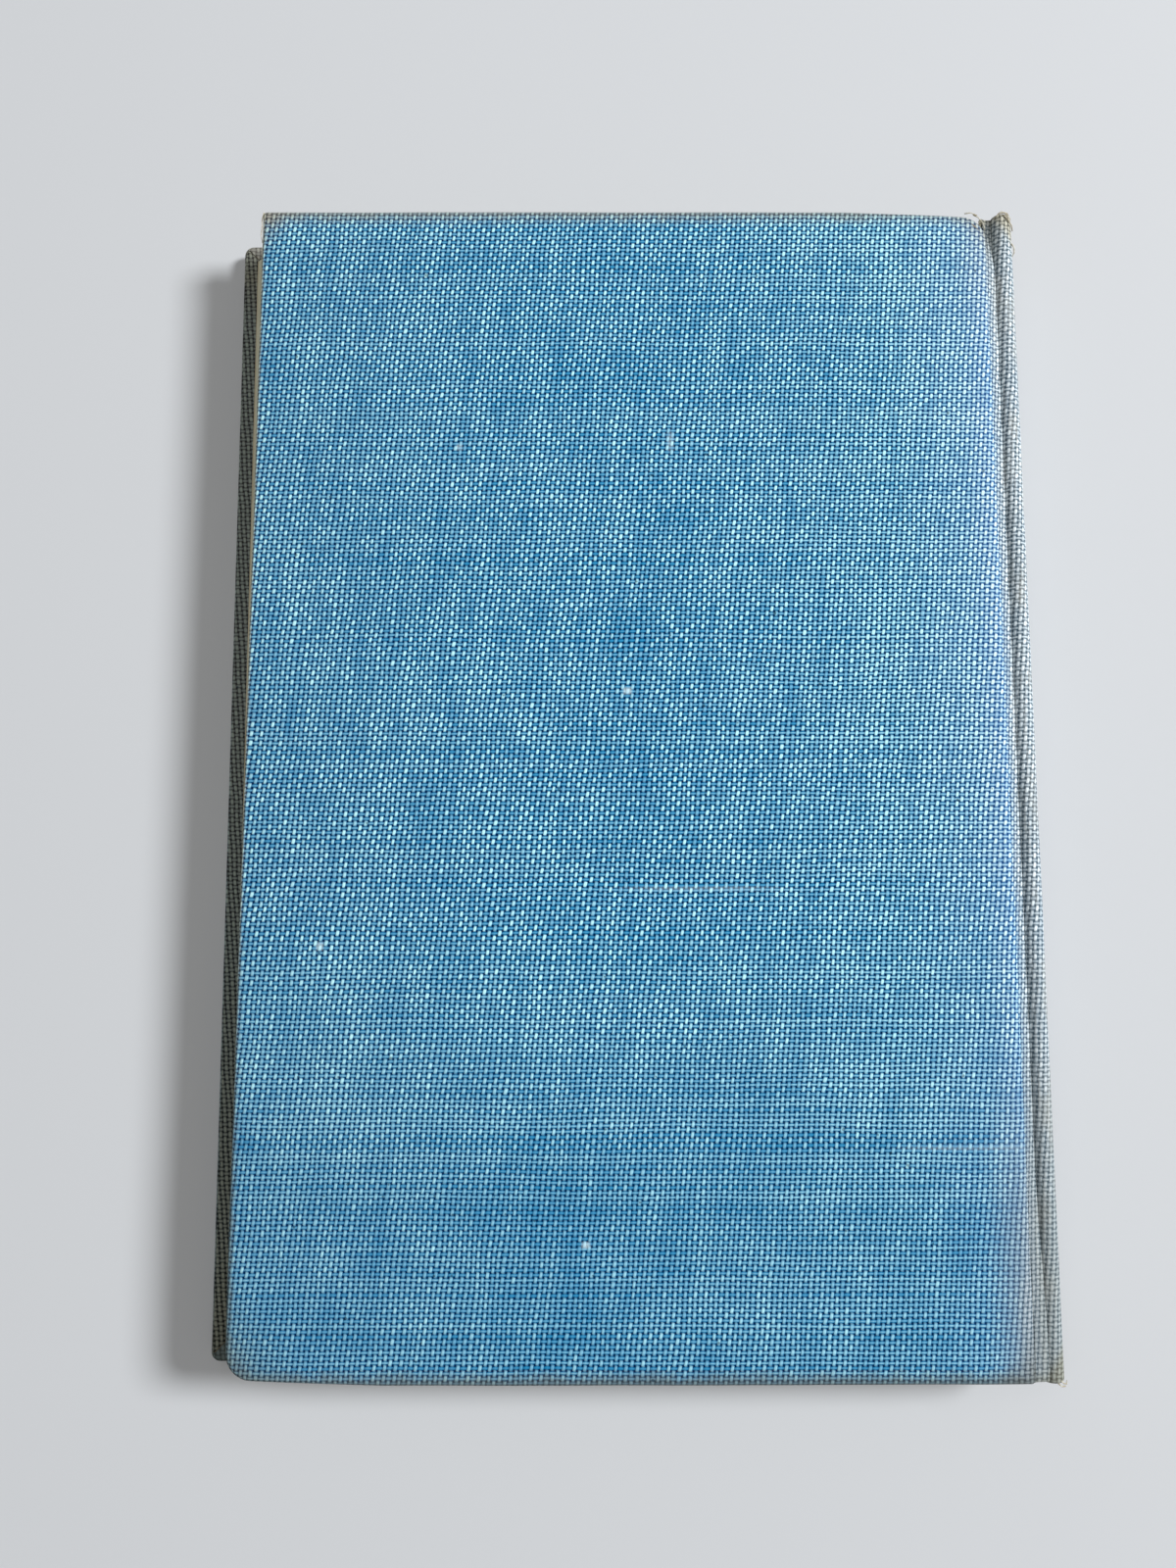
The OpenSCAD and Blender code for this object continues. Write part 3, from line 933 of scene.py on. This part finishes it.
def weave(finish, u, v, grid, boost, deep, ground, pale):
    """Colour, height and rubbing of the weave; grid strengthens the weft lines, boost the rubbing."""
    # The threads wander and sag a little, and no two are as thick.
    wander = finish.noise(u / 5, v / 12, 3, 2.0) - 0.5
    sag = finish.noise(u / 22, v / 12, 7, 1.0) - 0.5
    slub = finish.noise(u / 0.9, v / 2.5, 13, 1.0)
    warp = (u - v * WARP_LEAN + wander * 0.9) / WARP_PITCH
    weft = (v + sag * 0.8) / WEFT_PITCH
    # Column and row count the threads; a and b go from -0.5 to 0.5 over each.
    column, row = warp.floor(), weft.floor()
    a, b = warp - column - 0.5, weft - row - 0.5
    # Warp and weft stand up in turn.
    warp_up = ((weft - 0.5 + column) * math.pi).cos() * 0.5 + 0.5
    weft_up = ((warp - 0.5 + row) * math.pi).cos() * -0.5 + 0.5
    round_warp = (1 - (a / (slub * 0.10 + 0.34)) ** 2).root()
    crown = (1 - ((a - b * 0.13) / (slub * 0.12 + 0.27)) ** 2).root()
    round_weft = (1 - (b / 0.36) ** 2).root()
    height = (round_warp * (warp_up * 0.70 + 0.30)).at_least(round_weft * (weft_up * 0.55 + 0.25))
    # Every crossing, every thread and every row is rubbed a little differently.
    crossing = finish.speck(column, row, 0)
    thread = finish.speck(column, 0, 5)
    pick = finish.speck(row, 0, 9)
    streaks = finish.noise(u / 2.2, v / 26, 1, 3.0) - 0.5
    clouds = finish.noise(u / 24, v / 34, 2, 3.0) - 0.5
    patches = finish.noise(u / 5, v / 9, 4, 3.0) - 0.5
    bands = finish.noise(u / 45, v / 1.4, 15, 2.0) - 0.5
    rub = streaks * v.ramp(-70, 20) * 1.2 + bands * v.ramp(30, -50) * 0.6 + clouds * 0.7 + patches + boost
    # Toward the tail the ovals run together and the gaps between them fill.
    even = v.ramp(-10, -70)
    # Masks of painted shade between the rows and in the gaps between crossings.
    shade_between_rows = abs(b).ramp(0.18, 0.48)
    crevice_shade = abs(a).ramp(0.16, 0.42) * abs(b).ramp(0.10, 0.40)
    stroke = (crown * (warp_up * (1 - even * 0.25) + even * 0.22)).ramp(0.15, 0.85)
    top = stroke * (crossing * (0.75 - even * 0.40) + thread * 0.25 + 0.28 + even * 0.10) * (rub + 0.92)
    line = (1 - (b / 0.20) ** 2).at_least(0) * (weft_up * 0.75 + 0.25) * (pick * 0.7 + rub * 0.5 + 0.30)
    # Low places take the deep blue: partly the unworn dye, partly painted shade in the hollows.
    colour = finish.blend(height.ramp(0.05, 0.80), deep, finish.blend(even * 0.08, ground, deep))
    # Painted shade in the gaps between crossings and between the rows.
    dark = (crevice_shade * (crossing * 0.4 + 0.75 - even * 0.42)).at_least(shade_between_rows * 0.45)
    colour = finish.blend(dark, colour, deep)
    colour = finish.blend(line * grid, colour, pale)
    return finish.blend(top, colour, pale), height, rub


print("the cloth has", round(25.4 / WARP_PITCH), "threads to the inch across")

# %% [markdown]
# ## Wear of the covers
# Soil gathers along the edges, thickest at head and tail, and turns brown at the rim. The knocked
# corners are rubbed to the beige of the undyed thread, the fore edge is threadbare, and hands have
# dulled the tail corner. Each mark is a ramp of the distance from an edge, made ragged by noise. Most
# of them have one shade in the dips of the weave and another on its tops, so the weave shows through.

# %% Soil on a cover
def soiled_cover(finish, u, v, low, high, colour, relief, worn, marks):
    """Wear of a cover; worn is how far its soil spreads, marks are pale strokes."""
    from_fore, from_end, from_spine = u - low.x, high.y - abs(v), high.x - u
    fray = finish.noise(u / 2.5, v / 2.5, 11, 4.0, 0.65)
    ragged = (fray - 0.5) * 2.6
    # A grey veil on the fore edge side.
    colour = finish.blend(u.ramp(-5, -60) * relief * 0.14, colour, shade(140, 156, 154))
    # Soil along three edges.
    head = (from_end - ragged).ramp(3.2 * worn, 0.3) * v.ramp(-1, 1)
    tail = (from_end - ragged * 1.3).ramp(3.0 * worn, 0.3) * v.ramp(1, -1)
    side = (from_fore - ragged * 0.7).ramp(1.5 * worn, 0.1) * (v.ramp(-10, -85) * 0.6 + 0.2)
    soil = head.at_least(tail).at_least(side)
    dusty = finish.blend(v.ramp(20, -60), shade(164, 168, 160), shade(126, 134, 130))
    colour = finish.stain(soil * 0.70, colour, relief, shade(62, 72, 74), dusty)
    # Dull cloth at both ends beside the groove, and where the tail corner is held.
    veil = from_spine.ramp(8, 0) * (v.ramp(-40, -85) * 0.65 + v.ramp(70, 92) * 0.35)
    colour = finish.stain(veil, colour, relief, shade(84, 100, 112), shade(164, 172, 176))
    handled = (from_fore + from_end * 0.8).ramp(16, 1) * v.ramp(0, -60) * 0.5
    colour = finish.stain(handled, colour, relief, shade(30, 62, 72), shade(134, 152, 148))
    # Bare corners and a brown rim.
    tips = (from_fore + from_end * 0.9).ramp(9.0, 1.0).at_least((from_spine + from_end).ramp(9.0, 1.0))
    rubbed = finish.blend(v.ramp(40, -40), shade(176, 164, 144), shade(112, 118, 114))
    bare = finish.blend(relief, shade(66, 62, 56), rubbed)
    colour = finish.blend(tips * fray * 1.2, colour, bare)
    rim = (from_end.at_most(from_fore + v.ramp(-90, -30) * 0.6) - ragged * 0.3).ramp(1.4, -0.3)
    edge_brown = finish.blend(v.ramp(20, -60), shade(138, 134, 124), shade(76, 82, 76))
    colour = finish.blend(rim * (0.55 - relief * 0.15), colour, edge_brown)
    # The fore edge is threadbare toward the head, and the cloth turned in past it is darkened almost to
    # black with painted shade.
    threadbare = (from_fore - ragged * 0.2).ramp(0.7, -0.2) * from_fore.ramp(-1.6, -0.8) * v.ramp(-80, 10)
    colour = finish.stain(threadbare * 0.8, colour, relief, shade(110, 112, 96), shade(214, 214, 192))
    # Painted shade on the turn-in past the fore edge; the tops of the weave stay paler.
    pasted = from_fore.ramp(-0.8, -2.6)
    colour = finish.stain(pasted * 0.75, colour, relief, shade(6, 6, 3), shade(140, 140, 124))
    # Dark specks and pale marks.
    spots = finish.noise(u / 0.9, v / 0.9, 20, 0.0).ramp(0.80, 0.86)
    colour = finish.blend(spots * 0.6, colour, shade(24, 48, 64))
    for x, y, length, tall, strength in marks:
        mark = (abs(u - x) / length).ramp(1, 0.3) * (abs(v - y) / tall).ramp(1, 0.2)
        colour = finish.blend(mark * strength, colour, shade(214, 238, 244))
    return colour


# %% [markdown]
# ## Wear of the spine
# The spine is handled most: pale and dark streaks run along it and its ends are worn to bare thread.
# The gap at the head is darkened with painted shade, tinted brown as dirt, and the valley of the
# groove with painted shade.

# %% Streaks and bare ends
def soiled_spine(finish, u, v, high, colour, relief):
    """Streaks along the spine, and bare thread where head and tail are handled."""
    on_spine = (u - high.x).ramp(0.8, 2.4)
    streaks = finish.noise(u / 0.5, v / 22, 30, 2.0)
    cloud = finish.noise(u / 3, v / 12, 31, 3.0)
    colour = finish.blend(streaks.ramp(0.50, 0.75) * 0.30 * on_spine, colour, shade(226, 226, 220))
    colour = finish.blend(streaks.ramp(0.48, 0.30) * 0.35 * on_spine, colour, shade(92, 102, 108))
    colour = finish.blend(cloud.ramp(0.45, 0.70) * 0.30 * on_spine, colour, shade(176, 168, 150))
    dull = v.ramp(-25, -88) * 0.60 + v.ramp(78, 95) * 0.30
    colour = finish.stain(dull, colour, relief, shade(92, 100, 100), shade(164, 168, 162))
    # Painted shade in the gap at the head, tinted brown as dirt.
    shade_and_dirt_at_head = (u - high.x).ramp(2.2, 0.8) * v.ramp(84, 92)
    colour = finish.stain(shade_and_dirt_at_head * 0.7, colour, relief, shade(34, 30, 18), shade(112, 104, 70))
    # Painted shade in the valley of the groove, on the slope that faces the light.
    valley_shade = (u - high.x).ramp(0.2, 0.6) * (u - high.x).ramp(1.8, 1.2)
    colour = finish.blend(valley_shade * 0.25, colour, shade(92, 106, 120))
    reach = ((u - high.x - 2.0).at_least(0) * 1.4).at_most(6)
    end = (high.y - abs(v) - reach).ramp(2.6, -1.0) * (cloud * 0.5 + 0.6)
    bare = finish.blend(v.ramp(-10, 10), shade(152, 152, 136), shade(202, 194, 168))
    return finish.stain(end * 0.9, colour, relief, shade(102, 98, 82), bare)


# %% [markdown]
# ## Fading
# One finish dresses covers, grooves and spine, because the sheet is one and its flattened millimetres
# run on from piece to piece. The blue pales toward the spine side, partly faded and partly painted
# light, with a painted highlight along the board's edge where it slopes toward the light, and turns
# grey on the spine, which stood in the light on a shelf. Each of the three shades of the cloth, in its
# dips, on its ground and on its rubbed tops, pales in its own way.

# %% Cloth of covers, grooves and spine
BLUES = (shade(0, 28, 72), shade(8, 133, 186), shade(198, 250, 255))
# Faded blues, lightened further by the painted light and highlight beside the groove.
FADED_AND_LIT = (shade(30, 86, 150), shade(128, 172, 210), shade(242, 252, 255))
GREYS = (shade(68, 88, 102), shade(150, 168, 180), shade(240, 250, 253))
# Place across and along, half length, half height and strength of each pale mark.
PALE_MARKS = ((0.7, 11.9, 1.0, 0.8, 0.6), (-6.1, -74.4, 0.9, 0.7, 0.6), (-48, -29, 0.8, 0.9, 0.5),
              (12, -20, 16, 0.6, 0.14), (54, -60, 14, 0.6, 0.16), (8, 54, 0.8, 2.4, 0.25),
              (-27, 53, 0.7, 0.8, 0.35))


def cloth_finish(name, worn=None, marks=()):
    """Worn is how far the soil of a cover spreads; the cloth of grooves and spine has none."""
    finish = Finish(name, 0.95, 0.03)
    u, v = finish.cloth_map()
    low, high = back_low / MM, back_high / MM
    from_spine = high.x - u
    broad = finish.noise(u / 14, v / 14, 12, 3.0)
    # Beside the groove the cloth pales, most toward the head: partly sun fading, partly painted light, and
    # a painted highlight along the board's edge, which slopes toward the light.
    near_spine = (from_spine + (broad - 0.5) * 9).ramp(20, 1) * 0.35 + from_spine.ramp(6, 0.3) * 0.35
    faded_and_lit = near_spine * (v.ramp(-90, 10) * 0.42 + 0.46)
    # Past the board's edge it turns grey, and near head and tail a little before it.
    toward_ends = v.ramp(-50, -90) * 2.4 + v.ramp(55, 90) * 1.2
    turned = (from_spine - toward_ends + (broad - 0.5) * 2.4).ramp(0.6, -2.2)
    deep, ground, pale = [finish.blend(turned, finish.blend(faded_and_lit, blue, light), grey)
                          for blue, light, grey in zip(BLUES, FADED_AND_LIT, GREYS)]
    # The weft shows more toward the spine, and the warp is rubbed most there at the head.
    grid = (u.ramp(5, 45) * 0.32 + v.ramp(-20, -60) * 0.15 + 0.42).at_most(0.75)
    boost = (u.ramp(10, 50) * v.ramp(-50, 20) * 0.24 - v.ramp(-30, -75) * 0.30
             + from_spine.ramp(14, 3) * v.ramp(-60, 0) * 0.14 + (high.y - v).ramp(11, 0) * 0.20)
    colour, height, rub = weave(finish, u, v, grid, boost, deep, ground, pale)
    relief = height.ramp(0.2, 0.9)
    if worn:
        colour = soiled_cover(finish, u, v, low, high, colour, relief, worn, marks)
    else:
        colour = soiled_spine(finish, u, v, high, colour, relief)
    finish.colour(colour)
    finish.bump(height * 0.85 + rub * 0.15, 0.13 * MM)
    return finish


cloth_finish("blue book cloth, rubbed", worn=1.0, marks=PALE_MARKS).put_on(back_cloth)
cloth_finish("blue book cloth, underneath", worn=0.8).put_on(front_cloth)
cloth_finish("sun-faded book cloth").put_on(spine_cloth, back_groove, front_groove)

# %% [markdown]
# ## Paper
# The page edges are yellowed, each leaf in its own tone, with painted shade in the gap between two
# leaves. The endpapers are browned toward their edges and have a few rusty spots.

# %% Pages and papers
def pages_finish():
    finish = Finish("yellowed page edges", 0.9)
    x, y, z = finish.object_map()
    leaf = (z - block_low.z / MM) / (leaf_t / MM)
    number = leaf.floor()
    crevice_shade = abs(leaf - number - 0.5).ramp(0.30, 0.5)
    tone = finish.speck(number, 0, 1)
    along = finish.noise((x + number * 7) / 9, (y + number * 3) / 9, number, 2.0)
    dirt = finish.noise(x / 16, y / 16, z / 3, 3.0)
    colour = finish.blend(tone * 0.5 + along * 0.5, shade(200, 198, 170), shade(236, 233, 208))
    colour = finish.blend(dirt.ramp(0.42, 0.75) * 0.45, colour, shade(164, 152, 122))
    # Painted shade in the gap between two leaves.
    colour = finish.blend(crevice_shade * 0.55, colour, shade(96, 86, 64))
    finish.colour(colour)
    finish.bump(1 - crevice_shade, 0.03 * MM)
    return finish


def paper_finish(name, light, dark):
    finish = Finish(name, 0.9)
    x, y, z = finish.object_map()
    stain = finish.noise(x / 22, y / 22, z / 22, 4.0, 0.55)
    fibre = finish.noise(x / 0.35, y / 0.35, z / 0.35, 3.0)
    edge = (block_high.y / MM - abs(y)).ramp(9.0, 0.0) * 0.6 + stain * 0.3
    fox = finish.noise(x / 3.2, y / 3.2, 5, 1.0).ramp(0.72, 0.82)
    colour = finish.blend(stain.ramp(0.35, 0.75) * 0.6, light, dark)
    colour = finish.blend(edge * 0.5, colour, dark)
    colour = finish.blend(fox * 0.35, colour, shade(150, 110, 66))
    finish.colour(colour)
    finish.bump(fibre, 0.015 * MM)
    return finish


pages_finish().put_on(text_block)
paper_finish("yellowed endpaper", shade(216, 204, 174), shade(184, 164, 122)).put_on(
    back_pastedown, front_pastedown, cad["front_flyleaf"], cad["back_flyleaf"])

# %% [markdown]
# ## Board and gauze
# Inside the covers is grey millboard, pressed from old fibres. The sewing is held by starched gauze,
# whose wide net is drawn as the nearer of two threads.

# %% Board and gauze
NET = 1.1


def board_finish():
    finish = Finish("grey millboard", 0.95)
    x, y, z = finish.object_map()
    fibre = finish.noise(x / 0.5, y / 0.5, z / 0.2, 4.0, 0.6)
    fleck = finish.noise(x / 1.4, y / 0.7, z / 0.5, 2.0)
    colour = finish.blend(fibre, shade(112, 98, 76), shade(158, 142, 114))
    finish.colour(finish.blend(fleck.ramp(0.62, 0.72) * 0.5, colour, shade(84, 72, 54)))
    finish.bump(fibre, 0.05 * MM)
    return finish


def gauze_finish():
    finish = Finish("starched gauze", 0.92)
    x, y, z = finish.object_map()
    run, up = (x + z) / NET, y / NET
    cross = abs(run - run.floor() - 0.5).at_least(abs(up - up.floor() - 0.5))
    thread = cross.ramp(0.30, 0.36)
    slack = finish.noise(x / 3, y / 3, z / 3, 2.0)
    glue = finish.blend(slack, shade(150, 134, 100), shade(176, 160, 126))
    finish.colour(finish.blend(thread, glue, shade(222, 214, 192)))
    finish.bump(thread, 0.12 * MM)
    return finish


board_finish().put_on(cad["front_board"], cad["back_board"])
gauze_finish().put_on(cad["mull"], cad["front_mull_flap"], cad["back_mull_flap"])

# %% [markdown]
# ## Lining, card and thread
# Brown lining paper and the card inlay differ in shade only. The linen thread is twisted, so a wave
# along it gives its ply, and the loose threads of the cloth have lost their blue.

# %% Lining, card and thread
PLY = 0.45


def brown_finish(name, dark, light):
    finish = Finish(name, 0.88)
    x, y, z = finish.object_map()
    grain = finish.noise(x / 0.4, y / 4, z / 0.4, 3.0)
    cloud = finish.noise(x / 8, y / 8, z / 8, 2.0)
    finish.colour(finish.blend(grain * 0.5 + cloud * 0.5, dark, light))
    finish.bump(grain, 0.03 * MM)
    return finish


def thread_finish():
    finish = Finish("waxed linen thread", 0.7)
    _, y, z = finish.object_map()
    ply = ((z + y * 1.3) * (2 * math.pi / PLY)).cos() * 0.5 + 0.5
    finish.colour(finish.blend(ply, shade(176, 162, 130), shade(228, 218, 192)))
    finish.bump(ply, 0.06 * MM)
    return finish


def worn_thread_finish():
    finish = Finish("worn cloth threads", 0.95, 0.03)
    x, y, z = finish.object_map()
    tone = finish.noise(x / 0.8, y / 0.8, z / 0.8, 2.0)
    finish.colour(finish.blend(tone.ramp(0.3, 0.7), shade(168, 156, 130), shade(226, 222, 206)))
    return finish


brown_finish("brown lining paper", shade(112, 86, 56), shade(160, 130, 92)).put_on(cad["spine_lining"])
brown_finish("inlay card", shade(126, 112, 88), shade(168, 152, 124)).put_on(cad["spine_inlay"])
thread_finish().put_on(cad["sewing_thread"])
worn_thread_finish().put_on(spine_threads, corner_threads)

# %% [markdown]
# ## Sheets
# Cloth, paper and gauze were flat before they were folded round board and pages, so the size each
# sheet was cut to is printed. A sheet that is one of the frame's own solids gives it by its area. The
# brown lining paper is left out.

# %% Sheets as they were cut
def cut_width(node, length):
    """Width of a thin solid's sheet: half its surface over its length."""
    return sum(polygon.area for polygon in cad[node].data.polygons) / 2 / length


def say_sheet(made, width, length, held, rests_on, **more):
    print(made.name, "was cut", round(width / MM, 1), "by", round(length / MM, 1), "mm")


board_w, board_h, board_t = back_high - back_low
cloth_w = board_w + 2 * board_t + TURN_IN
cloth_h = board_h + 2 * (board_t + TURN_IN)
corners_off = TURN_IN ** 2 + 2 * TURN_IN * board_t
cloth_area = cloth_w * cloth_h - corners_off
say_sheet(back_cloth, cloth_w, cloth_h, "stretched", ["back_board"], area=cloth_area,
          with_pieces=[corner_threads])
say_sheet(front_cloth, cloth_w, cloth_h, "stretched", ["front_board"], area=cloth_area)
say_sheet(spine_cloth, *spine_flat, "stretched", ["spine_inlay"],
          with_pieces=[back_groove, front_groove, spine_threads])
paper_h = 2 * block_high.y
for pasted, board in ((back_pastedown, "back_board"), (front_pastedown, "front_board")):
    across = [v.co.x for v in pasted.data.vertices]
    say_sheet(pasted, max(across) - min(across), paper_h, "stretched", [board])
for leaf in ("front_flyleaf", "back_flyleaf"):
    say_sheet(cad[leaf], cut_width(leaf, paper_h), paper_h, "laid", ["page_block"])
gauze_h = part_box("mull")[1][1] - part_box("mull")[0][1]
for gauze, under in (("mull", "page_block"), ("front_mull_flap", "front_board"),
                     ("back_mull_flap", "back_board")):
    say_sheet(cad[gauze], cut_width(gauze, gauze_h), gauze_h, "stretched", [under])

# %% [markdown]
# ## Floor, light and camera
# The book lies on a plain pale floor. One soft light stands low on the right, so the fore edge falls
# into shade and the round of the spine catches the light, and a dim sky fills the rest. The camera
# looks almost straight down from a little below the tail, as the photograph does.

# %% Floor and lights
floor = bmesh.new()
bmesh.ops.create_grid(floor, x_segments=1, y_segments=1, size=3)
floor_object = piece("floor", floor, None, None)
floor_finish = Finish("pale floor", 0.9)
floor_finish.colour(shade(206, 207, 208))
floor_finish.put_on(floor_object)


def soft_light(name, place, size, power, colour=(1, 1, 1)):
    lamp = bpy.data.lights.new(name, "AREA")
    lamp.shape, lamp.size, lamp.energy, lamp.color = "DISK", size, power, colour
    made = bpy.data.objects.new(name, lamp)
    made.location = place
    made.rotation_euler = (-Vector(place)).to_track_quat("-Z", "Y").to_euler()
    bpy.context.collection.objects.link(made)
    print(name, "light gives", power, "W")


soft_light("window", place=(1.50, 0.45, 1.30), size=0.55, power=45.0, colour=(0.97, 1.0, 1.04))
soft_light("sky", place=(-0.10, 0.10, 0.90), size=0.90, power=2.0)
world = bpy.data.worlds.new("studio")
bpy.context.scene.world = world
world.use_nodes = True
world.node_tree.nodes["Background"].inputs[0].default_value = (1, 1, 1, 1)
world.node_tree.nodes["Background"].inputs[1].default_value = 0.20
bpy.context.scene.view_settings.view_transform = "Standard"

# %% Camera
CAMERA_PLACE = Vector((-6.18, -25.67, 200.64)) * MM
LOOKS_ALONG = Vector((0.0025, 0.1188, -0.9929))
HEAD_UP = Vector((0.0008, 0.9929, 0.1188))
camera_data = bpy.data.cameras.new("camera")
camera_data.lens = 27
camera_data.sensor_width = 36
camera_data.clip_start = 0.01
camera = bpy.data.objects.new("camera", camera_data)
bpy.context.collection.objects.link(camera)
look = LOOKS_ALONG.normalized()
right = look.cross(HEAD_UP).normalized()
camera.matrix_world = (Matrix.Translation(CAMERA_PLACE)
                       @ Matrix((right, right.cross(look), -look)).transposed().to_4x4())
bpy.context.scene.camera = camera
print("the camera is", round(camera.matrix_world.translation.z / MM), "mm up")
